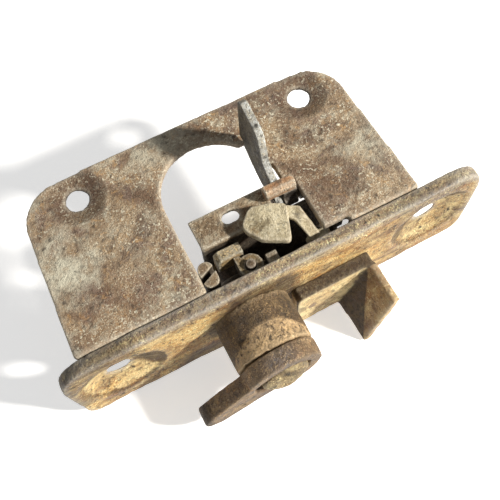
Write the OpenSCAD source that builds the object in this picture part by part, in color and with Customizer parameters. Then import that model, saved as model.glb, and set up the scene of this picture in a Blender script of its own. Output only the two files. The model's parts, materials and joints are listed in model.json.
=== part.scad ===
// Edge-mounted toggle bolt latch.
// The origin is the middle of the face bar's front face, midway between its two screw holes.
// +X runs along the bar, +Y goes into the door and +Z points up out of the mounting plate.

/* [Face bar] */
// Length of the face bar
bar_len = 114; // [112:0.5:118]
// Height of the face bar
bar_h = 34; // [34:0.5:36]
// Thickness of the face bar
bar_t = 3.6; // [3.4:0.1:3.8]
// Radius of the bar's upper corners
bar_top_r = 9; // [6:0.5:11]
// Radius of the bar's lower corners
bar_low_r = 4; // [3:0.5:6]
// Distance between the bar's two screw holes
face_screw_span = 88; // [86:0.5:90]
// Diameter of the bar's screw holes
face_screw_d = 5.5; // [5:0.1:6]
// Diameter of the dished recess round each screw hole
dish_d = 24; // [20:0.5:25]
// Depth of the dished recess
dish_depth = 2.8; // [2:0.1:2.9]

/* [Mounting plate] */
// Thickness of the plate
plate_t = 2.2; // [2:0.1:2.4]
// Left edge of the plate where it meets the bar
plate_left = -50.5; // [-52:0.5:-49]
// Right edge of the plate where it meets the bar
plate_right = 39.5; // [38:0.5:41]
// Back edge of the plate
plate_back = 47.5; // [47:0.5:50]
// Taper of the plate's sides, in degrees
plate_taper = 2.2; // [1.5:0.1:3]
// Radius of the left back corner
plate_left_r = 11; // [9:0.5:12]
// Radius of the right back corner
plate_right_r = 10; // [9:0.5:12]
// Distance between the plate's two screw holes
plate_screw_span = 62; // [60:0.5:63]
// Diameter of the plate's screw holes
plate_screw_d = 5.6; // [5:0.1:6]
// Radius of the arched cut-out
arch_r = 13.15; // [12.5:0.05:13.5]

/* [Toggle] */
// Diameter of the boss collar
boss_d = 20.2; // [19:0.1:21]
// Length of the boss collar in front of the bar
boss_len = 13; // [12:0.1:13.1]
// Thickness of the toggle lever
lever_t = 5; // [4.4:0.1:5.4]
// Length of the toggle lever from its axis to its tip
lever_len = 25.6; // [22:0.1:26]
// Angle of the toggle lever below the bar's long direction, in degrees
lever_slope = 28; // [20:1:35]
// Diameter of the toggle shaft
shaft_d = 8; // [7:0.1:8.4]

/* [Release lever] */
// Thickness of the upright blade
blade_t = 2; // [1.6:0.1:2.2]
// Diameter of the release pin
pin_d = 2.4; // [2:0.1:2.6]

/* [Hidden] */
$fn = 48;
eps = 0.5;                        // extra length of a cutting solid past the face it opens
run = 0.05;                       // radial clearance of a running fit

plate_top = bar_h / 2;
plate_low = plate_top - plate_t;
plate_holes_y = plate_back - 6.7;
plate_holes_x = -4.2;             // middle of the plate's two screw holes
arch_c = [-4.4, 27];
mouth_right = 13.8;               // right side of the cut-out between the bar and the foot
flange_t = 2.2;                   // turned-down flange of the plate
flange_low = 5.6;

axis_x = -9;                      // toggle axis, along Y at Z = 0
spigot_d = 12;                    // boss spigot in the bar
hub_y = -boss_len - 0.3;          // rear face of the toggle lever
head_y = hub_y - lever_t;         // front face of the toggle lever
shaft_end = 17.2;
screw_head_d = 12.4;
screw_seat = 2.4;                 // depth of the counterbore in the lever
screw_rise = 2.2;                 // how far the domed head stands in front of the lever
screw_dome_r = 10;
crank_y = 5.6;
crank_t = 3;
web_y = 13.6;                      // front face of the channel's web
web_t = 1.4;
bush_d = 9.4;
channel_top = 16.9;
clip_y = web_y + web_t + 0.4;     // the clip's groove in the shaft
clip_t = 0.8;
channel_left = -14.1;
channel_right = 6.1;
web_right = 24;                   // the web and floor run on under the plate
guard_t = 3.7;                    // thickness of the guard's block on the bar
rivet_d = 2.4;
plate_rivet_xs = [-30, -23, 27, 31.5];
plate_rivet_z = 10;
channel_rivet_xs = [-12, -3];
channel_rivet_z = -11.6;
guard_rivet_d = 3;
guard_rivet_xs = [7, 14];
guard_rivet_z = -9;

tilt_y = 18.3;                    // release pin, along X
tilt_z = 12.7;
ear_r = 2;
blade_x = 7.5;                    // left face of the blade
foot_y = 17.2;                    // front of the foot
foot_z = 17.3;                    // underside of the foot
foot_w = 3;
blade_y = foot_y + foot_w;        // the blade rises behind the foot
root_r = 2.3;                     // round root of the blade about the pin
lift_x = 13;                      // pawl pin, along Y
lift_z = 11;
swing_x = -5.4;                   // dog pin, along Z
swing_y = 5.9;
swing_pin_d = 2.5;

// A bar along Y from y0 to y1, round, centred at x, z
module y_rod(x, z, d, y0, y1) {
    translate([x, y1, z]) rotate([90, 0, 0]) cylinder(d = d, h = y1 - y0);
}
// A bar along X from x0 to x1, round, centred at y, z
module x_rod(y, z, d, x0, x1) {
    translate([x0, y, z]) rotate([0, 90, 0]) cylinder(d = d, h = x1 - x0);
}
// A block between two corners
module block(a, b) {
    translate(a) cube(b - a);
}
// An outline drawn in X and Z, as thick as y0 to y1
module y_plate(y0, y1) {
    translate([0, y1, 0]) rotate([90, 0, 0]) linear_extrude(y1 - y0) children();
}
// An outline drawn in Y and Z, as thick as x0 to x1
module x_plate(x0, x1) {
    translate([x0, 0, 0]) rotate([90, 0, 90]) linear_extrude(x1 - x0) children();
}
// A point at distance r and angle a from centre c
function polar(c, r, a) = [c[0] + r * cos(a), c[1] + r * sin(a)];

// ---- fixed case ----

// Outline of the plate, with round back corners tangent to its tapered sides
module plate_outline() {
    lean = tan(plate_taper);
    cl = [plate_left + (plate_back - plate_left_r - bar_t) * lean + plate_left_r / cos(plate_taper),
          plate_back - plate_left_r];
    cr = [plate_right - (plate_back - plate_right_r - bar_t) * lean - plate_right_r / cos(plate_taper),
          plate_back - plate_right_r];
    polygon([[plate_left, bar_t], [plate_right, bar_t], polar(cr, plate_right_r, plate_taper),
        polar(cr, plate_right_r, 45), polar(cr, plate_right_r, 90), polar(cl, plate_left_r, 90),
        polar(cl, plate_left_r, 135), polar(cl, plate_left_r, 180 - plate_taper)]);
    translate(cl) circle(plate_left_r);
    translate(cr) circle(plate_right_r);
}

// The cut-out: an arch, the straight mouth at the bar, and the release lever's slots
module cutout() {
    mouth_left = arch_c[0] - arch_r;
    translate(arch_c) circle(arch_r);
    translate([mouth_left, 0]) square([mouth_right - mouth_left, foot_y + foot_w + 0.6]);
    translate([mouth_left, 0]) square([arch_r, arch_c[1]]);
    translate([blade_x - 1.3, 18]) square([blade_t + 3, 8.6]);
    translate([blade_x - 1.3, 20]) square([blade_t + 2.2, 15]);
    translate([12, 0]) square([8.4, bar_t + 1.7]);
}

module mounting_plate() color([0.52, 0.46, 0.36]) {
    difference() {
        union() {
            translate([0, 0, plate_low]) linear_extrude(plate_t) difference() {
                plate_outline();
                cutout();
            }
            // flange against the back of the bar, on both sides of the mouth
            block([plate_left + 16, bar_t, flange_low], [-18.6, bar_t + flange_t, plate_low + 0.1]);
            block([21, bar_t, flange_low], [plate_right - 6, bar_t + flange_t, plate_low + 0.1]);
        }
        for (side = [-1, 1])
            translate([plate_holes_x + side * plate_screw_span / 2, plate_holes_y, 0]) {
                translate([0, 0, plate_low - eps]) cylinder(d = plate_screw_d, h = plate_t + 2);
                // shallow dimple round the hole
                translate([0, 0, plate_top - 1.1]) cylinder(d1 = 7.5, d2 = 15, h = 1.11);
            }
        for (x = plate_rivet_xs) y_rod(x, plate_rivet_z, rivet_d, bar_t - eps, bar_t + flange_t + eps);
    }
}

// Outline of the face bar, in X and Z
module bar_outline() {
    half = bar_len / 2;
    top = bar_h / 2;
    difference() {
        translate([-half, -top]) square([bar_len, bar_h]);
        for (s = [-1, 1]) {
            corner_cut(s, half, top, bar_top_r, 1);
            corner_cut(s, half, top, bar_low_r, -1);
        }
    }
}
// What rounding one corner of the bar takes away
module corner_cut(side, half, top, r, up) {
    difference() {
        translate([side * (half - r / 2 + eps / 2), up * (top - r / 2 + eps / 2)])
            square([r + eps, r + eps], center = true);
        translate([side * (half - r), up * (top - r)]) circle(r);
    }
}

module face_bar() color([0.74, 0.60, 0.42]) {
    difference() {
        y_plate(0, bar_t) bar_outline();
        for (s = [-1, 1]) translate([s * face_screw_span / 2, 0, 0]) {
            y_rod(0, 0, face_screw_d, -eps, bar_t + eps);
            translate([0, -0.01, 0]) rotate([-90, 0, 0]) cylinder(d1 = dish_d, d2 = 11, h = dish_depth);
        }
        y_rod(axis_x, 0, spigot_d, -eps, bar_t + eps);
        for (x = plate_rivet_xs) y_rod(x, plate_rivet_z, rivet_d, -eps, bar_t + eps);
        for (x = channel_rivet_xs) y_rod(x, channel_rivet_z, rivet_d, -eps, bar_t + eps);
        for (x = guard_rivet_xs) y_rod(x, guard_rivet_z, guard_rivet_d, -eps, bar_t + eps);
        y_rod(lift_x, lift_z, 2.8, -eps, bar_t + eps);
    }
}

module boss_collar() color([0.46, 0.38, 0.28]) {
    difference() {
        union() {
            y_rod(axis_x, 0, boss_d, -boss_len, 0);
            y_rod(axis_x, 0, spigot_d, -0.1, bar_t);
        }
        y_rod(axis_x, 0, shaft_d + 2 * run, -boss_len - eps, bar_t + eps);
    }
}

// Guard bracket: a block on the bar with a slanted fin that stands in front of it
module guard_bracket() color([0.62, 0.54, 0.40]) {
    fin_t = 2.2;
    difference() {
        union() {
            y_plate(-guard_t, 0) polygon([[2.4, -17], [2.4, -0.6], [3.6, 1], [24.6, 1], [22.6, -7],
                [18, -18.5], [4.4, -18.5]]);
            fin(fin_t);
        }
        for (x = guard_rivet_xs) y_rod(x, guard_rivet_z, guard_rivet_d, -guard_t - eps, eps);
    }
}
// The fin's outer edge and the crease run between its four corners
module fin(t) {
    low = -19;
    hull() {
        for (p = [[23, -3.6, 1], [23.1, -15.2, 1], [15.8, -3.6, low], [16.3, -16.7, low]])
            translate(p) {
                cube([t, 0.1, 0.1]);
            }
        translate([22.2, -3.6, -9]) cube([t, 0.1, 0.1]);
    }
}

// Channel behind the bar: a slotted top flange, an upright web and a floor with a lip on the bar
module back_channel() color([0.40, 0.34, 0.27]) {
    low = -14;
    difference() {
        union() {
            x_plate(channel_left, channel_right) polygon([[21.8, channel_top], [web_y, channel_top],
                [web_y, 10], [web_y + web_t, 10], [web_y + web_t, channel_top - web_t],
                [21.8, channel_top - web_t]]);
            x_plate(channel_left, web_right) polygon([[web_y, plate_low - 0.4], [web_y, low + web_t],
                [bar_t + 1.2, low + web_t], [bar_t + 1.2, low + 4.4], [bar_t, low + 4.4],
                [bar_t, low], [web_y + web_t, low], [web_y + web_t, plate_low - 0.4]]);
        }
        // round-ended slot in the top flange
        for (x = [-5.1, -3.6]) translate([x, 18.4, 10]) cylinder(d = 3, h = 10);
        block([-5.1, 16.95, 10], [-3.6, 19.85, 20]);
        y_rod(axis_x, 0, bush_d, web_y - eps, web_y + web_t + eps);
        for (x = channel_rivet_xs) y_rod(x, channel_rivet_z, rivet_d, bar_t - eps, bar_t + 1.2 + eps);
    }
}

// A row of flush rivets along Y
module rivet_row(xs, z, d, y0, y1) {
    for (x = xs) y_rod(x, z, d, y0, y1);
}
module plate_rivets() color([0.45, 0.38, 0.30])
    rivet_row(plate_rivet_xs, plate_rivet_z, rivet_d, 0.1, bar_t + flange_t + 0.4);
module channel_rivets() color([0.45, 0.38, 0.30])
    rivet_row(channel_rivet_xs, channel_rivet_z, rivet_d, 0.1, bar_t + 1.6);
module guard_rivets() color([0.45, 0.38, 0.30])
    rivet_row(guard_rivet_xs, guard_rivet_z, guard_rivet_d, 0.1 - guard_t, bar_t);

module rear_bush() color([0.55, 0.45, 0.28]) difference() {
    union() {
        y_rod(axis_x, 0, bush_d, web_y, web_y + web_t);
        y_rod(axis_x, 0, bush_d + 2, web_y - 1, web_y);
    }
    y_rod(axis_x, 0, shaft_d + 2 * run, web_y - 2, web_y + web_t + eps);
}

module pivot_ears() color([0.42, 0.36, 0.28]) difference() {
    union() {
        x_plate(4.6, 5.8) ear_outline(channel_top - web_t);
        x_plate(14, 15.4) ear_outline(plate_low);
    }
    x_rod(tilt_y, tilt_z, pin_d, 2, 17);
}
// An ear that hangs from z0 and is round about the release pin
module ear_outline(z0) {
    translate([tilt_y, tilt_z]) circle(ear_r);
    translate([tilt_y - ear_r, tilt_z]) square([2 * ear_r, z0 - tilt_z]);
}

module release_pin() color([0.5, 0.45, 0.38]) x_rod(tilt_y, tilt_z, pin_d, 4.3, 15.7);

module pawl_pin() color([0.45, 0.38, 0.30]) {
    y_rod(lift_x, lift_z, 2.8, 0.1, 7.2);
    y_rod(lift_x, lift_z, 4.6, 7.2, 8);
}

module dog_pin() color([0.5, 0.44, 0.36])
    translate([swing_x, swing_y, 8.6]) cylinder(d = swing_pin_d, h = 6.8);

// Stop block on the back of the bar, with the lug that carries the dog's pin
module stop_block() color([0.55, 0.44, 0.28]) {
    block([-1.4, bar_t, 8.6], [1.6, 6.9, 14.4]);
    difference() {
        block([-7.6, bar_t, 8.6], [-1.4, 8, 10]);
        translate([swing_x, swing_y, 8]) cylinder(d = swing_pin_d, h = 3);
    }
}

// Forked post: a round-ended post with a slanted slot across its top
module spring_post() color([0.35, 0.30, 0.26]) difference() {
    union() {
        block([-17.3, bar_t, 9], [-14.3, 6, 11.6]);
        translate([0, 0, 9]) linear_extrude(6.4) hull() {
            translate([-15.4, 6.6]) circle(r = 2, $fn = 32);
            translate([-15.4, 9.6]) circle(r = 2, $fn = 32);
        }
    }
    translate([-15.4, 8.2, 14]) rotate([0, 0, 24]) cube([6.4, 1.2, 4], center = true);
}

// Coil spring round the release pin: a stack of turns as plain rings
module release_spring() color([0.3, 0.28, 0.26])
    for (i = [0 : 2]) translate([6.1 + i * 0.53, tilt_y, tilt_z]) rotate([0, 90, 0])
        rotate_extrude() translate([1.6, 0]) circle(0.26, $fn = 16);

// Leaf spring beside the pawl's eye, with its foot on the bar
module pawl_spring() color([0.3, 0.28, 0.26]) {
    block([17, bar_t, 8.6], [17.8, 7.4, 12.4]);
    block([17, 6.8, 8.6], [20.4, 7.4, 12.4]);
}

// ---- toggle ----

// Outline of the lever about its own axis, with the arm along +X
module lever_outline() {
    tip = 4.2;
    circle(d = boss_d);
    hull() {
        circle(r = 8.4, $fn = 40);
        translate([lever_len - tip, 0.8]) circle(r = tip, $fn = 32);
    }
}
module toggle_lever() color([0.44, 0.36, 0.27]) difference() {
    y_plate(head_y, hub_y) translate([axis_x, 0]) rotate(180 + lever_slope) lever_outline();
    y_rod(axis_x, 0, screw_head_d + 1, head_y - eps, head_y + screw_seat);
    // the recess runs on towards the arm
    y_rod(axis_x - 2, -1.1, screw_head_d, head_y - eps, head_y + screw_seat - 0.4);
    y_rod(axis_x, 0, 6, head_y - eps, hub_y + eps);
}

// Shaft: a reduced nose in the lever, the bearing length, and a groove for the clip
module toggle_shaft() color([0.42, 0.37, 0.31]) difference() {
    union() {
        y_rod(axis_x, 0, shaft_d, hub_y, shaft_end);
        y_rod(axis_x, 0, 6, head_y + screw_seat, hub_y + 0.1);
    }
    difference() {
        y_rod(axis_x, 0, shaft_d + 2, clip_y - 0.05, clip_y + clip_t + 0.05);
        y_rod(axis_x, 0, shaft_d - 1.6, clip_y - eps, clip_y + clip_t + eps);
    }
}

// Slotted screw with a domed head in the lever's counterbore
module toggle_screw() color([0.45, 0.36, 0.26]) difference() {
    intersection() {
        y_rod(axis_x, 0, screw_head_d, head_y - 3, head_y + screw_seat);
        translate([axis_x, head_y - screw_rise + screw_dome_r, 0]) sphere(screw_dome_r);
    }
    translate([axis_x, head_y - screw_rise, 0]) rotate([0, 35, 0]) cube([14, 1.6, 1.4], center = true);
}

// Crank on the shaft behind the bar, with a pin end that works the bolt
module drive_crank() color([0.40, 0.34, 0.28]) difference() {
    y_plate(crank_y, crank_y + crank_t) translate([axis_x, 0]) {
        circle(r = 6.4);
        rotate(-60) hull() {
            circle(r = 4, $fn = 32);
            translate([5.4, 0]) circle(r = 2.4, $fn = 32);
        }
    }
    y_rod(axis_x, 0, shaft_d, crank_y - eps, crank_y + crank_t + eps);
}

module shaft_clip() color([0.3, 0.28, 0.26]) difference() {
    y_rod(axis_x, 0, 10.6, clip_y, clip_y + clip_t);
    y_rod(axis_x, 0, shaft_d - 1.6, clip_y - eps, clip_y + clip_t + eps);
    block([axis_x - 1.6, clip_y - eps, 0], [axis_x + 1.6, clip_y + clip_t + eps, 8]);
}

// ---- release lever ----

// Blade outline in Y and Z: a root round the pin, a slanted neck and a chisel head
module blade_outline() {
    root = [for (a = [330 : -15 : 180]) polar([tilt_y, tilt_z], root_r, a)];
    front = [[blade_y, foot_z], [blade_y, 20], [22.3, 21.2], [24.2, 22.9], [24.9, 26], [26.2, 30.6]];
    head = [[28, 32.3], [31, 33], [34.4, 34.2], [36, 33], [36.4, 18.6], [34.3, 18.2]];
    polygon(concat(root, front, head, [[34.3, 16.4], [30, 14], [25.2, 12.2]]));
}
module release_lever() color([0.40, 0.34, 0.27])
    x_plate(blade_x, blade_x + blade_t) difference() {
        blade_outline();
        translate([tilt_y, tilt_z]) circle(d = pin_d + 2 * run);
    }

// Barrel round the release pin beside the blade, with the post that carries the foot
module release_barrel() color([0.68, 0.45, 0.24])
    x_plate(blade_x + blade_t, 13.3) difference() {
        union() {
            translate([tilt_y, tilt_z]) circle(root_r);
            translate([foot_y, tilt_z]) square([foot_w - 0.8, foot_z - tilt_z]);
        }
        translate([tilt_y, tilt_z]) circle(d = pin_d + 2 * run);
    }

// Foot: a block across the front of the blade, above the plate
module release_foot() color([0.68, 0.45, 0.24]) {
    low = [foot_y, foot_z];
    x_plate(4.9, 13) polygon([low, low + [0, 1.9], low + [0.9, 3.1], low + [foot_w, 2.9], low + [foot_w, 0]]);
}

// ---- pawl ----

// Teardrop: a broad round back and flanks that narrow towards the bar
module teardrop_outline() {
    hull() {
        translate([-1, 12.6]) circle(r = 2.6, $fn = 32);
        translate([0.6, 14.6]) circle(r = 2.2, $fn = 32);
        translate([4, 13.9]) circle(r = 2, $fn = 32);
        translate([6.8, 13.2]) circle(r = 1.3, $fn = 32);
        translate([4.4, 6]) circle(r = 0.9, $fn = 32);
        translate([0.3, 9.6]) circle(r = 2, $fn = 32);
    }
}
module pawl() color([0.48, 0.43, 0.33]) translate([0, 0, 17.8]) linear_extrude(2.2) teardrop_outline();

// Arm from the pawl's eye up to the teardrop
module pawl_arm() color([0.46, 0.41, 0.32]) difference() {
    union() {
        y_rod(lift_x, lift_z, 6.4, 4.3, 6.7);
        hull() {
            block([10.6, 4.4, 13.2], [13.2, 6.7, 13.6]);
            block([8.2, 9.4, 17.9], [10.9, 12.2, 19]);
        }
        hull() {
            block([8.2, 9.4, 17.9], [10.9, 12.2, 19]);
            block([6, 11.8, 18.1], [7, 14.2, 19.6]);
        }
    }
    y_rod(lift_x, lift_z, 2.8 + 2 * run, 4, 7);
}

// ---- dog ----

module lock_dog() color([0.70, 0.56, 0.38]) difference() {
    block([-12.4, 9.6, 9], [-5.4, 12.6, 15]);
    translate([-12.4, 9.6, 15]) rotate([0, 45, 0]) cube([1.6, 8, 1.6], center = true);
}

// Hook round the dog's pin, cut flat towards the bar, with a finger to the dog
module dog_hook() color([0.62, 0.52, 0.38]) translate([swing_x, swing_y, 10.3]) linear_extrude(4)
    difference() {
        union() {
            circle(r = 3.1);
            translate([-3, 0]) square([1.6, 3.7]);
        }
        circle(d = swing_pin_d + 2 * run);
        translate([-4, -4]) square([8, 2.2]);
    }

mounting_plate();
face_bar();
boss_collar();
guard_bracket();
back_channel();
plate_rivets();
channel_rivets();
guard_rivets();
rear_bush();
pivot_ears();
release_pin();
pawl_pin();
dog_pin();
stop_block();
spring_post();
release_spring();
pawl_spring();
toggle_lever();
toggle_shaft();
toggle_screw();
drive_crank();
shaft_clip();
release_lever();
release_barrel();
release_foot();
pawl();
pawl_arm();
lock_dog();
dog_hook();
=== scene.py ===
"""Looks of the toggle bolt latch: worn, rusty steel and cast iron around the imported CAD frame."""
import json
import math

import bmesh
import bpy
import numpy as np
from mathutils import Euler, Matrix, Vector


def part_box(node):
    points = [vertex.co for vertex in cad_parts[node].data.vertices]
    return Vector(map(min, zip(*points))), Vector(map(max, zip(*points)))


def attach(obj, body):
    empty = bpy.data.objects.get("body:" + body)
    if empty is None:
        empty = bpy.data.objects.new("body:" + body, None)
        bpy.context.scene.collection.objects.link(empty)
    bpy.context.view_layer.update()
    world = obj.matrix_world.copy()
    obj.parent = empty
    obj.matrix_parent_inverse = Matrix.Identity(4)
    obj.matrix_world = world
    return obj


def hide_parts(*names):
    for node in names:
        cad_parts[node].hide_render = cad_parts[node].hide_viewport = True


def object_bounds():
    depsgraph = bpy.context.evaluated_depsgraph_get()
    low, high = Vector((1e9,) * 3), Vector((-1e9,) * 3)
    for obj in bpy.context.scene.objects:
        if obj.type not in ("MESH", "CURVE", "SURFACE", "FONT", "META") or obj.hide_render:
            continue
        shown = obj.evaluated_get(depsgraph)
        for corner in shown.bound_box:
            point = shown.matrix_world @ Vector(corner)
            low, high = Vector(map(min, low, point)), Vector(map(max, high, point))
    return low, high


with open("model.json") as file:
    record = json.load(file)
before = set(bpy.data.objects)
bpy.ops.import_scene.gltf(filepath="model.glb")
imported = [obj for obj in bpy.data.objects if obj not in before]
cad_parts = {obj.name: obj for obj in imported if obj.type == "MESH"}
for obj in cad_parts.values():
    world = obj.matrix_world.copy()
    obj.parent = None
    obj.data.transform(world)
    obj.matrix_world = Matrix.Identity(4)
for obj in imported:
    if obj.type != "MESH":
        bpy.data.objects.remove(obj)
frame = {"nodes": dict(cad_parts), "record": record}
cad_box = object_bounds()

MM = 0.001
NODES = frame["nodes"]
BODY_OF = {n: body for body, names in frame["record"]["behaviour"]["bodies"].items() for n in names}
PLUGS = {"face_bar": ("plate_rivets", "channel_rivets", "pawl_pin"), "guard_bracket": ("guard_rivets",)}
SLOT_OF = {row["node"]: row["material_slot"] for row in frame["record"]["subparts"]}
MARKS = ("zone", "pale", "grime_and_shade")            # painted marks: rubbed or rusted; pale crust, and painted light on some lit faces; grime, and painted shade below parts, in hollows and on faces turned from the lamp


def mount_holes(name):
    """The centres of a mount's two holes, in mm."""
    mount = next(m for m in frame["record"]["mounts"] if m["name"] == name)
    middle = np.array(mount["pos_m"]) / MM
    half = np.array([mount["dims"]["spacing_x_mm"] / 2, 0, 0])
    return middle - half, middle + half


BAR_HOLES = mount_holes("face_screws")
PLATE_HOLES = mount_holes("plate_holes")
BOSS_R = (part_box("boss_collar")[1].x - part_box("boss_collar")[0].x) / 2 / MM
TOGGLE_TURN = next(j for j in frame["record"]["behaviour"]["joints"] if j["name"] == "toggle_turn")
BOSS_X = TOGGLE_TURN["pos_m"][0] / MM

# sizes of the worn surface's features, in mm
SWELL_SIZE = 9.0
PIT_SIZE = 1.3
PIT_PATCH_SIZE = 7.0
WEAR_BLUR = 6                               # passes that spread the wear along an edge


# ---- noise and mesh tools ----

def lattice(ix, iy, iz, seed):
    """A repeatable value from 0 to 1 at each whole-number point."""
    h = (ix * 73856093) ^ (iy * 19349663) ^ (iz * 83492791) ^ (seed * 2654435761)
    h = (h ^ (h >> 13)) * 1274126177
    h = (h ^ (h >> 16)) & 0xFFFFFF
    return h / float(0xFFFFFF)


def noise(points, size, seed):
    """Smooth noise from -1 to 1 at points, with features of about size."""
    q = points / size
    cell = np.floor(q).astype(np.int64)
    f = q - cell
    f = f * f * (3 - 2 * f)
    total = np.zeros(len(points))
    for dx in (0, 1):
        for dy in (0, 1):
            for dz in (0, 1):
                w = (f[:, 0] if dx else 1 - f[:, 0]) * (f[:, 1] if dy else 1 - f[:, 1])
                w = w * (f[:, 2] if dz else 1 - f[:, 2])
                total += w * lattice(cell[:, 0] + dx, cell[:, 1] + dy, cell[:, 2] + dz, seed)
    return 2 * total - 1


def fractal(points, size, seed, octaves=3):
    """Layers of noise, each half as large and half as strong as the one before."""
    total, scale = np.zeros(len(points)), 1.0
    for i in range(octaves):
        total += scale * noise(points, size / 2 ** i, seed + i)
        scale *= 0.5
    return total


def coords(mesh):
    co = np.zeros(len(mesh.vertices) * 3)
    mesh.vertices.foreach_get("co", co)
    return co.reshape(-1, 3)


def vertex_normals(mesh):
    no = np.zeros(len(mesh.vertices) * 3)
    mesh.vertex_normals.foreach_get("vector", no)
    return no.reshape(-1, 3)


def edge_ends(mesh):
    ends = np.zeros(len(mesh.edges) * 2, np.int64)
    mesh.edges.foreach_get("vertices", ends)
    return ends.reshape(-1, 2)


def neighbour_mean(co, ends):
    """The mean of each vertex's neighbours."""
    total, count = np.zeros_like(co), np.zeros(len(co))
    for a, b in ((0, 1), (1, 0)):
        np.add.at(total, ends[:, a], co[ends[:, b]])
        np.add.at(count, ends[:, a], 1)
    return total / np.maximum(count, 1)[:, None]


def set_coords(mesh, co):
    mesh.vertices.foreach_set("co", co.ravel())
    mesh.update()


def with_plugs(node):
    """A copy of a node's mesh in which flush rivets and pins fill their holes."""
    low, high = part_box(node)
    whole = bmesh.new()
    whole.from_mesh(NODES[node].data)
    for name in PLUGS[node]:
        plug = bmesh.new()
        plug.from_mesh(NODES[name].data)
        for v in plug.verts:
            v.co.y = min(max(v.co.y, low.y), high.y)
            if node == "face_bar" and v.co.y < low.y + 0.2 * MM:
                v.co.y = low.y
        mesh = bpy.data.meshes.new("plug")
        plug.to_mesh(mesh)
        plug.free()
        whole.from_mesh(mesh)
    out = bpy.data.meshes.new(node)
    whole.to_mesh(out)
    whole.free()
    return out


def remeshed(node, voxel):
    """A copy of a CAD node's mesh, made of even quads."""
    mesh = with_plugs(node) if node in PLUGS else NODES[node].data.copy()
    source = bpy.data.objects.new("tmp", mesh)
    bpy.context.scene.collection.objects.link(source)
    mod = source.modifiers.new("voxels", "REMESH")
    mod.mode = "VOXEL"
    mod.voxel_size = voxel
    mod.use_smooth_shade = True
    graph = bpy.context.evaluated_depsgraph_get()
    mesh = bpy.data.meshes.new_from_object(source.evaluated_get(graph))
    bpy.data.objects.remove(source)
    return mesh


def add_attribute(mesh, name, values):
    layer = mesh.attributes.new(name, "FLOAT", "POINT")
    layer.data.foreach_set("value", np.clip(values, 0, 1).astype(np.float32))


def worn_piece(node, voxel, rounds, swell, pits, zones):
    """Stands for a CAD node: its mesh, with rounded edges, swells, pits and a wear attribute."""
    mesh = remeshed(node, voxel * MM)
    ends = edge_ends(mesh)
    co = coords(mesh)
    for _ in range(rounds):
        co = co + 0.5 * (neighbour_mean(co, ends) - co)
    set_coords(mesh, co)
    normal = vertex_normals(mesh)
    bulge = np.einsum("ij,ij->i", co - neighbour_mean(co, ends), normal)
    for _ in range(WEAR_BLUR):
        bulge = 0.5 * bulge + 0.5 * neighbour_mean(bulge[:, None], ends)[:, 0]
    seed = sum(ord(c) for c in node)
    mm = co / MM
    push = swell * fractal(mm, SWELL_SIZE, seed)
    grain = fractal(mm, PIT_SIZE, seed + 20)
    pitted = 0.4 + np.clip(fractal(mm, PIT_PATCH_SIZE, seed + 40) + 0.3, 0, 1)
    push = push - pits * np.clip(grain - 0.25, 0, 1) * pitted
    set_coords(mesh, co + normal * (push * MM)[:, None])
    add_attribute(mesh, "wear", bulge / (0.07 * voxel * MM))
    add_attribute(mesh, "pit", np.clip(grain - 0.2, 0, 1) * 1.4)
    marks = zones(mm, normal) if zones else {}
    for name in MARKS:
        add_attribute(mesh, name, marks.get(name, np.zeros(len(co))))
    for poly in mesh.polygons:
        poly.use_smooth = True
    obj = bpy.data.objects.new("worn_" + node, mesh)
    bpy.context.scene.collection.objects.link(obj)
    mesh.materials.clear()
    mesh.materials.append(MATERIALS[SLOT_OF[node]])
    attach(obj, BODY_OF[node])
    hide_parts(node)


# ---- materials ----

def linear(rgb):
    """A display colour, 0 to 255, as a linear colour."""
    out = [c / 255 / 12.92 if c <= 10 else ((c / 255 + 0.055) / 1.055) ** 2.4 for c in rgb]
    return (*out, 1.0)


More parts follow.
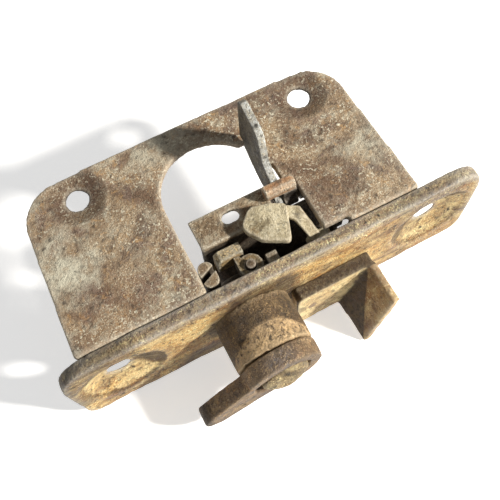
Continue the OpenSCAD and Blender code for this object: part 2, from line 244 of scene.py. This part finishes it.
class Graph:
    """Short calls for a material's node tree."""

    def __init__(self, name):
        self.material = bpy.data.materials.new(name)
        self.material.use_nodes = True
        self.tree = self.material.node_tree
        self.shader = self.tree.nodes["Principled BSDF"]
        self.place = self.tree.nodes.new("ShaderNodeTexCoord").outputs["Object"]

    def link(self, a, b):
        self.tree.links.new(a, b)

    def feed(self, socket, value):
        """Sets a socket to a plain value, or links another node's socket to it."""
        if isinstance(value, (int, float, tuple)):
            socket.default_value = value
        else:
            self.link(value, socket)

    def noise(self, scale, detail=4.0, rough=0.6, stretch=(1, 1, 1), seed=0.0, warp=0.0):
        """Noise with `scale` features per metre."""
        place = self.tree.nodes.new("ShaderNodeMapping")
        place.inputs["Scale"].default_value = stretch
        place.inputs["Location"].default_value = (seed, seed * 0.7, seed * 1.3)
        self.link(self.place, place.inputs["Vector"])
        node = self.tree.nodes.new("ShaderNodeTexNoise")
        node.inputs["Scale"].default_value = scale
        node.inputs["Detail"].default_value = detail
        node.inputs["Roughness"].default_value = rough
        node.inputs["Distortion"].default_value = warp
        self.link(place.outputs["Vector"], node.inputs["Vector"])
        return node.outputs["Fac"]

    def ramp(self, value, low, high, start=0.0, end=1.0):
        """A smooth step of value from low to high."""
        node = self.tree.nodes.new("ShaderNodeMapRange")
        node.interpolation_type = "SMOOTHSTEP"
        node.inputs["From Min"].default_value = low
        node.inputs["From Max"].default_value = high
        node.inputs["To Min"].default_value = start
        node.inputs["To Max"].default_value = end
        self.link(value, node.inputs["Value"])
        return node.outputs["Result"]

    def math(self, kind, a, b):
        node = self.tree.nodes.new("ShaderNodeMath")
        node.operation = kind
        self.feed(node.inputs[0], a)
        self.feed(node.inputs[1], b)
        return node.outputs[0]

    def attribute(self, name):
        node = self.tree.nodes.new("ShaderNodeAttribute")
        node.attribute_name = name
        return node.outputs["Fac"]

    def mix(self, amount, a, b):
        node = self.tree.nodes.new("ShaderNodeMix")
        node.data_type = "RGBA"
        for index, value in ((0, amount), (6, a), (7, b)):      # factor and the two colours
            self.feed(node.inputs[index], value)
        return node.outputs[2]

    def bump(self, height, distance, strength, before=None):
        node = self.tree.nodes.new("ShaderNodeBump")
        node.inputs["Strength"].default_value = strength
        node.inputs["Distance"].default_value = distance
        self.link(height, node.inputs["Height"])
        if before:
            self.link(before, node.inputs["Normal"])
        return node.outputs["Normal"]


def worn_metal(name, dark, mid, light, patch, worn, patch_share=0.5, light_share=0.5, wear_gain=1.0,
               zone=None, streaks=0.0, seed=0.0, grain=1.0, shine=0.5, stretch=(1, 1, 1), contrast=1.0,
               gold=None, flecks=0.5):
    """Old metal: two browns in clouds, light crust, coloured patches, dark pits and worn bright edges."""
    g = Graph(name)
    big = g.noise(70, 6, 0.66, stretch=stretch, seed=seed, warp=1.2)
    mid_noise = g.noise(200, 7, 0.72, stretch=stretch, seed=seed + 3, warp=0.5)
    fine = g.noise(900, 5, 0.7, seed=seed + 5)
    speck = g.noise(2600, 2, 0.6, seed=seed + 9)
    colour = g.mix(g.ramp(big, 0.39, 0.6), linear(dark), linear(mid))
    crust = g.math("MULTIPLY", g.ramp(mid_noise, 0.58 - 0.2 * light_share, 0.76 - 0.2 * light_share),
                   g.ramp(fine, 0.3, 0.65, 0.25, 0.9 * contrast))
    colour = g.mix(crust, colour, linear(light))
    patch_mark = g.ramp(g.noise(110, 6, 0.66, stretch=stretch, seed=seed + 12, warp=1.0), 0.62 - 0.2 * patch_share,
                   0.78 - 0.2 * patch_share)
    colour = g.mix(g.math("MULTIPLY", patch_mark, 0.75 * contrast), colour, linear(patch))
    if gold:
        vein = g.ramp(g.noise(300, 6, 0.72, stretch=stretch, seed=seed + 25, warp=1.5), 0.54, 0.66)
        colour = g.mix(g.math("MULTIPLY", vein, 0.7), colour, linear(gold))
    if zone:
        where = g.math("MULTIPLY", g.attribute("zone"), g.ramp(mid_noise, 0.3, 0.6, 0.55, 1.0))
        where = g.math("MULTIPLY", where, g.ramp(fine, 0.3, 0.55, 1.0, 0.45))
        colour = g.mix(where, colour, linear(zone))
    # the pale mark lightens: light crust in some places, painted light on lit faces in others, as the zones
    # below lay it
    pale = g.math("MULTIPLY", g.attribute("pale"), g.ramp(mid_noise, 0.36, 0.6, 0.15, 1.0))
    colour = g.mix(pale, colour, linear(light))
    # the dark mark darkens: grime in some places, painted shade in others, as the zones below lay it
    grime_and_shade = g.math("MULTIPLY", g.attribute("grime_and_shade"), g.ramp(fine, 0.3, 0.7, 1.0, 0.82))
    colour = g.mix(grime_and_shade, colour, linear([c * 0.36 for c in dark]))
    if streaks:
        lines = g.ramp(g.noise(500, 4, 0.6, stretch=(0.09, 1, 1), seed=seed + 15), 0.5, 0.66)
        colour = g.mix(g.math("MULTIPLY", lines, streaks), colour, linear(light))
    colour = g.mix(g.math("MULTIPLY", g.ramp(fine, 0.53, 0.68), 0.7 * grain), colour,
                   linear([c * 0.35 for c in dark]))
    colour = g.mix(g.math("MULTIPLY", g.ramp(speck, 0.58, 0.7), 0.4 * grain), colour,
                   linear([c * 0.3 for c in dark]))
    clean = g.math("SUBTRACT", 1.0, grime_and_shade)
    chip = g.ramp(g.noise(1300, 3, 0.65, seed=seed + 21, warp=0.6), 0.57, 0.63)
    chip = g.math("MULTIPLY", chip, g.ramp(g.noise(130, 4, 0.6, seed=seed + 31), 0.4, 0.6, 0.1, 1.0))
    chip = g.math("MULTIPLY", chip, g.math("MULTIPLY", clean, flecks))
    colour = g.mix(chip, colour, linear([min(255, c * 1.12) for c in light]))
    glint = g.math("MULTIPLY", g.ramp(speck, 0.46, 0.34), g.ramp(big, 0.46, 0.62, 0.08 * grain, 0.6 * grain))
    colour = g.mix(g.math("MULTIPLY", glint, clean), colour, linear([min(255, c * 1.25) for c in light]))
    pit = g.math("MULTIPLY", g.attribute("pit"), g.ramp(fine, 0.4, 0.62, 0.0, 0.75 * grain))
    colour = g.mix(pit, colour, linear([c * 0.4 for c in dark]))
    rub = g.math("MULTIPLY", g.attribute("wear"), g.ramp(fine, 0.35, 0.6, 0.35, 1.0))
    rub = g.math("MULTIPLY", g.math("MULTIPLY", rub, wear_gain), g.ramp(grime_and_shade, 0.2, 1.0, 1.0, 0.15))
    colour = g.mix(rub, colour, linear(worn))
    g.link(colour, g.shader.inputs["Base Color"])
    g.link(g.math("MULTIPLY", g.ramp(rub, 0.2, 0.8), shine), g.shader.inputs["Metallic"])
    rough = g.ramp(mid_noise, 0.3, 0.7, 0.5, 0.82)
    g.link(g.math("SUBTRACT", rough, g.math("MULTIPLY", rub, 0.2)), g.shader.inputs["Roughness"])
    crumb = g.bump(fine, 0.0007 * grain, 0.9)
    crumb = g.bump(speck, 0.00025 * grain, 0.9, crumb)
    g.link(crumb, g.shader.inputs["Normal"])
    return g.material


FINISHES = {
    # slot: dark, mid, light, patch and worn-edge colours, then how much there is of each feature
    "plate_patina": ((112, 90, 70), (164, 140, 110), (204, 198, 176), (120, 98, 88), (206, 196, 176),
        dict(patch_share=0.6, light_share=0.45, zone=(122, 90, 64), seed=1.0, gold=(190, 150, 100),
             flecks=0.85, wear_gain=0.6, contrast=0.8, grain=0.8)),
    "bar_patina": ((112, 76, 38), (206, 160, 88), (236, 212, 156), (150, 98, 42), (190, 186, 178),
        dict(light_share=0.6, wear_gain=0.7, zone=(142, 138, 128), streaks=0.2, gold=(186, 122, 50),
             flecks=0.7, seed=7.0, stretch=(0.55, 1, 1), patch_share=0.6, grain=1.4)),
    "cast_rust": ((52, 38, 24), (112, 86, 56), (176, 146, 100), (84, 56, 30), (190, 166, 130),
        dict(zone=(240, 206, 158), seed=13.0, grain=1.5, light_share=0.6, flecks=0.6)),
    "guard_patina": ((128, 90, 50), (188, 150, 98), (230, 208, 156), (152, 102, 52), (212, 196, 164),
        dict(zone=(70, 50, 30), seed=19.0, light_share=0.6, gold=(206, 160, 92), wear_gain=0.6)),
    "inner_steel": ((58, 46, 36), (96, 80, 62), (136, 120, 98), (96, 64, 36), (176, 166, 150),
        dict(seed=23.0)),
    "channel_patina": ((118, 96, 70), (168, 146, 114), (204, 192, 166), (116, 80, 48), (206, 198, 178),
        dict(seed=27.0, wear_gain=0.8)),
    "rivet_steel": ((84, 64, 44), (130, 106, 76), (164, 146, 116), (120, 80, 44), (190, 180, 164),
        dict(seed=29.0)),
    "bush_brass": ((84, 62, 28), (136, 104, 52), (168, 140, 84), (92, 74, 44), (200, 170, 110),
        dict(seed=31.0)),
    "spring_steel": ((40, 34, 30), (66, 58, 50), (96, 86, 74), (80, 54, 34), (150, 144, 136),
        dict(seed=37.0)),
    "orange_rust": ((120, 84, 54), (178, 132, 92), (196, 168, 130), (184, 124, 74), (204, 196, 176),
        dict(seed=41.0, patch_share=0.7, zone=(176, 172, 156), wear_gain=0.8)),
    "lever_rust": ((92, 70, 48), (134, 108, 78), (182, 156, 116), (104, 74, 44), (176, 158, 130),
        dict(zone=(104, 104, 108), seed=43.0, wear_gain=0.25, grain=1.2, gold=(170, 128, 82))),
    "screw_rust": ((86, 68, 42), (140, 118, 80), (206, 188, 140), (96, 66, 40), (196, 178, 140),
        dict(seed=47.0, wear_gain=0.3, grain=1.3)),
    "blade_steel": ((104, 90, 66), (150, 134, 102), (178, 164, 130), (124, 96, 60), (190, 192, 186),
        dict(seed=53.0, wear_gain=0.35, shine=0.4, zone=(218, 224, 224), grain=1.4)),
    "pawl_patina": ((132, 118, 88), (202, 188, 154), (222, 212, 184), (146, 120, 80), (206, 196, 174),
        dict(seed=59.0, grain=0.8, wear_gain=0.6)),
    "dog_rust": ((110, 86, 52), (172, 142, 90), (200, 176, 126), (150, 108, 54), (196, 190, 170),
        dict(zone=(166, 164, 150), seed=61.0, grain=1.3)),
}
MATERIALS = {name: worn_metal(name, *colours, **amounts)
             for name, (*colours, amounts) in FINISHES.items()}


# ---- pieces ----

def near(points, centre, radius, soft):
    """1 within radius of a centre, falling to 0 over soft."""
    d = np.linalg.norm(points - np.array(centre), axis=1)
    return np.clip((radius + soft - d) / soft, 0, 1)


def plate_zones(mm, normal):
    """Rust round the screw holes, right of the blade and along the arch; pale crust towards the sides; darker
    in and round the screw holes; painted shade on faces that turn down.
    """
    flat = mm * np.array([1, 1, 0])
    wander = 2.5 * fractal(mm, 7.0, 71)
    ring, wall, slope = (np.max([near(flat, hole * [1, 1, 0], radius, soft) for hole in PLATE_HOLES], axis=0)
                         for radius, soft in ((6 + wander, 4), (2.9, 0.8), (6.6, 1.4)))
    right = near(flat * np.array([1, 0.8, 1]), (17.2, 11.8, 0), 5 + 1.2 * wander, 2)
    rim = near(flat, (-4.4, 27.0, 0), 15 + 1.5 * wander, 5) * 0.7
    lower_left = near(flat, (-38, 10, 0), 6 + 3 * wander, 7) * 0.6
    # pale crust: place, radius, softness, strength
    crust = (((-46, 26, 0), 4, 7, 1), ((34, 21, 0), 3, 8, 0.5),
             ((-26, 24, 0), 1, 7, 0.4), ((-12, 44, 0), 2, 8, 0.7))
    pale = np.max([near(flat, place, radius + 2 * wander, soft) * strength
                   for place, radius, soft, strength in crust], axis=0)
    # the dark mark: darker in the holes, their dimples and the rust right of the blade, and painted shade on
    # faces that turn down
    return {"zone": np.maximum(np.maximum(ring * 0.9, right), np.maximum(rim, lower_left)),
            "pale": pale * (normal[:, 2] > 0),
            "grime_and_shade": np.max([wall, slope * 0.42, right * 0.25, np.clip(-normal[:, 2], 0, 1) * 0.5], axis=0)}


def bar_zones(mm, normal):
    """Grey worn metal along the top edge; in the dishes, painted shade on the upper walls, painted light on
    the floors and a dark ring at the rims; a painted shadow below the boss; darker round the boss's root and
    on the back.
    """
    flat = mm * np.array([1, 0, 1])
    wander = fractal(mm * np.array([0.4, 1, 1]), 4.0, 77)
    top = np.clip((mm[:, 2] - 14.2 + 1.5 * wander + 0.03 * (mm[:, 0] + 50)) / 1.6, 0, 1)
    ends = np.clip((np.abs(mm[:, 0]) - 54.5) / 2, 0, 1) * (mm[:, 2] > -6)
    tip = np.clip((-34 - mm[:, 0]) / 6, 0, 1) * np.clip((mm[:, 2] - 8.5 + wander) / 2.5, 0, 1)
    patch_mark = np.zeros(len(mm))
    floor = np.zeros(len(mm))
    for x, lean in ((BAR_HOLES[0][0], 0.6), (BAR_HOLES[1][0], -0.6)):
        r = np.hypot(mm[:, 0] - x, mm[:, 2]) + 0.5 * wander
        inside = (mm[:, 1] > 0.15) & (r < 12.5)
        # painted shade on each dish's upper wall, tilted to one side; the rest of the dish floor is painted
        # light
        dish_shade = np.clip((mm[:, 2] + lean * (mm[:, 0] - x) + 0.5 + 1.5 * wander) / 3, 0, 1)
        rim = np.clip(1 - np.abs(r - 11) / 0.9, 0, 1)
        bowl = dish_shade * np.clip((r - 3.5) / 2, 0, 1) * 0.85
        patch_mark = np.maximum(patch_mark, inside * np.maximum(bowl, rim * 0.8))
        floor = np.maximum(floor, inside * (1 - dish_shade) * (r < 10))
    root = near(flat, (-8, 0, 2), 11.5 + 1.5 * wander, 3.5) * (mm[:, 2] > -6) * (mm[:, 1] < 1) * 0.85
    right = np.clip((mm[:, 0] - 26 + 3 * wander) / 8, 0, 1) * 0.34
    far_end = np.clip((-52.5 - mm[:, 0] + wander) / 2, 0, 1) * (mm[:, 2] > -9) * 0.55
    back = np.clip(normal[:, 1] - 0.3, 0, 1) * (mm[:, 1] > 2.9)
    # painted shadow of the boss on the bar's front, below it
    shadow = near(mm * np.array([0.5, 0, 1]), (-11, 0, -14), 4 + wander, 2.5) * (mm[:, 1] < 1) * 0.85
    # pale here is painted light on the dishes' floors
    return {"zone": np.maximum(top, ends * 0.8), "pale": floor * 0.9,
            "grime_and_shade": np.max([patch_mark, back, shadow, tip * 0.7, root, far_end, right], axis=0)}


def boss_zones(mm, normal):
    """The front of the collar is lighter than its root, and its left flank carries painted shade."""
    edge = -6.2 - 4.6 * ((mm[:, 0] - BOSS_X) / BOSS_R) ** 2 + 0.3 * fractal(mm, 2.0, 83)
    front = np.clip((edge - mm[:, 1]) / 0.5, 0, 1)
    # painted shade on the left flank, which faces away from the key lamp
    flank = np.clip(-normal[:, 0] - 0.35, 0, 1) * 0.9
    return {"zone": front, "grime_and_shade": np.maximum((1 - front) * 0.5, flank * (1.1 - 0.8 * front))}


def guard_zones(mm, normal):
    """Dark on top of the guard's block and in the corner at its left end; painted shade on the fin's inner
    face, darkest on a slanted half; painted light on the front faces.
    """
    ledge = np.clip(normal[:, 2] * 2, 0, 1) * (mm[:, 1] > -4.1) * (mm[:, 2] > -3)
    # painted shade on the fin's inner face, which faces away from the key lamp, darkest below the slanted line
    inner = np.clip(-normal[:, 0] * 1.5, 0, 1) * (mm[:, 1] < -3.3)
    shade = np.clip((1 + 1.53 * (mm[:, 1] + 3.6) - mm[:, 2]) / 0.8, 0, 1)
    corner = near(mm * np.array([1, 0, 1]), (2.4, 0, -8), 1.5, 2) * 0.6
    return {"zone": ledge, "grime_and_shade": np.maximum(np.maximum(ledge * 0.95, corner), inner * (0.35 + 0.65 * shade)),
            # pale here is painted light on the faces that turn to the front
            "pale": np.clip(-normal[:, 1], 0, 1) * (mm[:, 1] > -4.2) * 0.9}


def blade_zones(mm, normal):
    """Silvery colour on the blade's faces that turn to the front and up; painted shade on its left faces."""
    edge = np.clip(-normal[:, 1] + normal[:, 2], 0, 1) * (np.abs(normal[:, 0]) < 0.8)
    # painted shade on the faces that turn left, away from the key lamp
    return {"zone": edge, "grime_and_shade": np.clip(-normal[:, 0], 0, 1) * 0.62}


def foot_zones(mm, normal):
    """Silvery wear along the foot's front rim."""
    return {"zone": near(mm * np.array([0, 1, 1]), (0, 17.2, 19.6), 0.6, 0.9)}


def top_zones(mm, normal):
    """Silvery colour on what faces up."""
    return {"zone": np.clip(normal[:, 2] * 1.6 - 0.6, 0, 1)}


def post_zones(mm, normal):
    """Painted shade down the post's slot and sides."""
    return {"grime_and_shade": 1 - np.clip(normal[:, 2] * 1.4, 0, 1) * (mm[:, 2] > 14)}


def channel_zones(mm, normal):
    """Painted shade on everything below the channel's top flange."""
    return {"grime_and_shade": np.clip((15.9 - mm[:, 2]) / 0.8, 0, 1)}


def deep_zones(mm, normal):
    """Painted shade on what lies deep under the cut-out, a little less on faces that turn up."""
    return {"grime_and_shade": np.clip(0.9 - 0.45 * normal[:, 2], 0, 1)}


def lever_zones(mm, normal):
    """Blue-grey bare steel where a hand has rubbed the hub's rim; grime at the tip; painted shade on faces
    that turn down and on those that turn to the front, and a dark spot low on the hub's front.
    """
    rub = near(mm, (-10, -17.5, 9.5), 1.5, 5)
    tip = np.clip((-28.5 - mm[:, 0]) / 1.5, 0, 1) * 0.8
    # painted shade on faces that turn down and on faces that turn to the front
    under = np.clip(-normal[:, 2], 0, 1) * (mm[:, 1] > -18) * 0.6
    face = np.clip(-normal[:, 1] - 0.5, 0, 1) * 0.5
    return {"zone": rub, "grime_and_shade": np.max([near(mm, (-15, -17, -3), 1, 2.5), tip, under, face], axis=0),
            "pale": np.clip(-normal[:, 1] - 0.4, 0, 1) * near(mm, (-20, -18.3, -6), 2, 5) * 0.6}


WORN = {
    # node: voxel, rounding passes, swell, pit depth, zones (sizes in mm)
    "mounting_plate": (0.5, 3, 0.10, 0.12, plate_zones),
    "face_bar": (0.5, 6, 0.16, 0.16, bar_zones),
    "boss_collar": (0.4, 3, 0.10, 0.25, boss_zones),
    "guard_bracket": (0.4, 5, 0.16, 0.18, guard_zones),
    "back_channel": (0.3, 3, 0.05, 0.08, channel_zones),
    "pivot_ears": (0.2, 3, 0.03, 0.05, None),
    "stop_block": (0.25, 5, 0.06, 0.10, deep_zones),
    "spring_post": (0.22, 3, 0.06, 0.08, post_zones),
    "toggle_lever": (0.35, 8, 0.16, 0.12, lever_zones),
    "toggle_screw": (0.3, 4, 0.10, 0.12, None),
    "drive_crank": (0.3, 4, 0.05, 0.08, None),
    "release_lever": (0.25, 2, 0.08, 0.10, blade_zones),
    "release_barrel": (0.22, 4, 0.06, 0.10, deep_zones),
    "release_foot": (0.22, 4, 0.08, 0.10, foot_zones),
    "pawl": (0.25, 5, 0.06, 0.08, None),
    "pawl_arm": (0.22, 3, 0.04, 0.06, None),
    "lock_dog": (0.25, 5, 0.08, 0.10, top_zones),
    "dog_hook": (0.22, 4, 0.06, 0.08, deep_zones),
    "dog_pin": (0.15, 3, 0.02, 0.03, deep_zones),
    "release_pin": (0.15, 3, 0.02, 0.03, None),
}

PLAIN_WEAR = 0.15                           # wear all over a node that keeps its CAD shape

for node, look in WORN.items():
    worn_piece(node, *look)

for node, obj in NODES.items():
    if node not in WORN:
        count = len(obj.data.vertices)
        for name in ("wear", "pit", *MARKS):
            add_attribute(obj.data, name, np.full(count, PLAIN_WEAR if name == "wear" else 0.0))
        obj.data.materials.clear()
        obj.data.materials.append(MATERIALS[SLOT_OF[node]])


# ---- floor, light and camera ----

FLOOR_GAP = 0.4 * MM                        # room for the worn surface under the lowest CAD face


def make_floor():
    low = cad_box[0][2] - FLOOR_GAP
    bpy.ops.mesh.primitive_plane_add(size=30, location=(0, 0, low))
    floor = bpy.context.object
    floor.name = "floor"
    material = bpy.data.materials.new("floor")
    material.use_nodes = True
    inputs = material.node_tree.nodes["Principled BSDF"].inputs
    inputs["Base Color"].default_value = (0.92, 0.92, 0.91, 1)
    inputs["Roughness"].default_value = 0.9
    inputs["Emission Color"].default_value = (1, 1, 1, 1)
    inputs["Emission Strength"].default_value = 0.5
    floor.data.materials.append(material)


def area_light(name, place, size, power, colour):
    """A square lamp that shines at the origin."""
    data = bpy.data.lights.new(name, "AREA")
    data.size = size
    data.energy = power
    data.color = colour
    lamp = bpy.data.objects.new(name, data)
    lamp.location = place
    lamp.rotation_euler = (-Vector(place)).to_track_quat("-Z", "Y").to_euler()
    bpy.context.scene.collection.objects.link(lamp)


def make_light():
    area_light("key", (0.62, -0.45, 0.5), 0.07, 16.0, (1.0, 0.96, 0.9))
    area_light("fill", (-0.5, 0.1, 0.7), 0.7, 0.6, (0.92, 0.96, 1.0))
    world = bpy.data.worlds.new("studio")
    world.use_nodes = True
    inputs = world.node_tree.nodes["Background"].inputs
    inputs["Color"].default_value = (1, 1, 1, 1)
    inputs["Strength"].default_value = 0.2
    bpy.context.scene.world = world


CAMERA_PLACE = (-27.16, -46.97, 158.25)     # mm
CAMERA_TILT = 22.867                        # degrees up from straight down
CAMERA_LEAN = 2.183                         # degrees to the side
CAMERA_TURN = -27.642                       # degrees about the upright
CAMERA_LENS = 47.48                         # mm, on a 36 mm sensor


def make_camera():
    """Looks down on the latch from above its front, turned about the upright."""
    data = bpy.data.cameras.new("camera")
    data.lens = CAMERA_LENS
    data.sensor_width = 36
    data.clip_start = 0.005
    camera = bpy.data.objects.new("camera", data)
    turn = Euler([math.radians(angle) for angle in (CAMERA_TILT, CAMERA_LEAN, CAMERA_TURN)])
    camera.matrix_world = Matrix.LocRotScale(Vector(CAMERA_PLACE) * MM, turn, None)
    bpy.context.scene.collection.objects.link(camera)
    bpy.context.scene.camera = camera


make_floor()
make_light()
make_camera()
bpy.context.scene.view_settings.view_transform = "Standard"
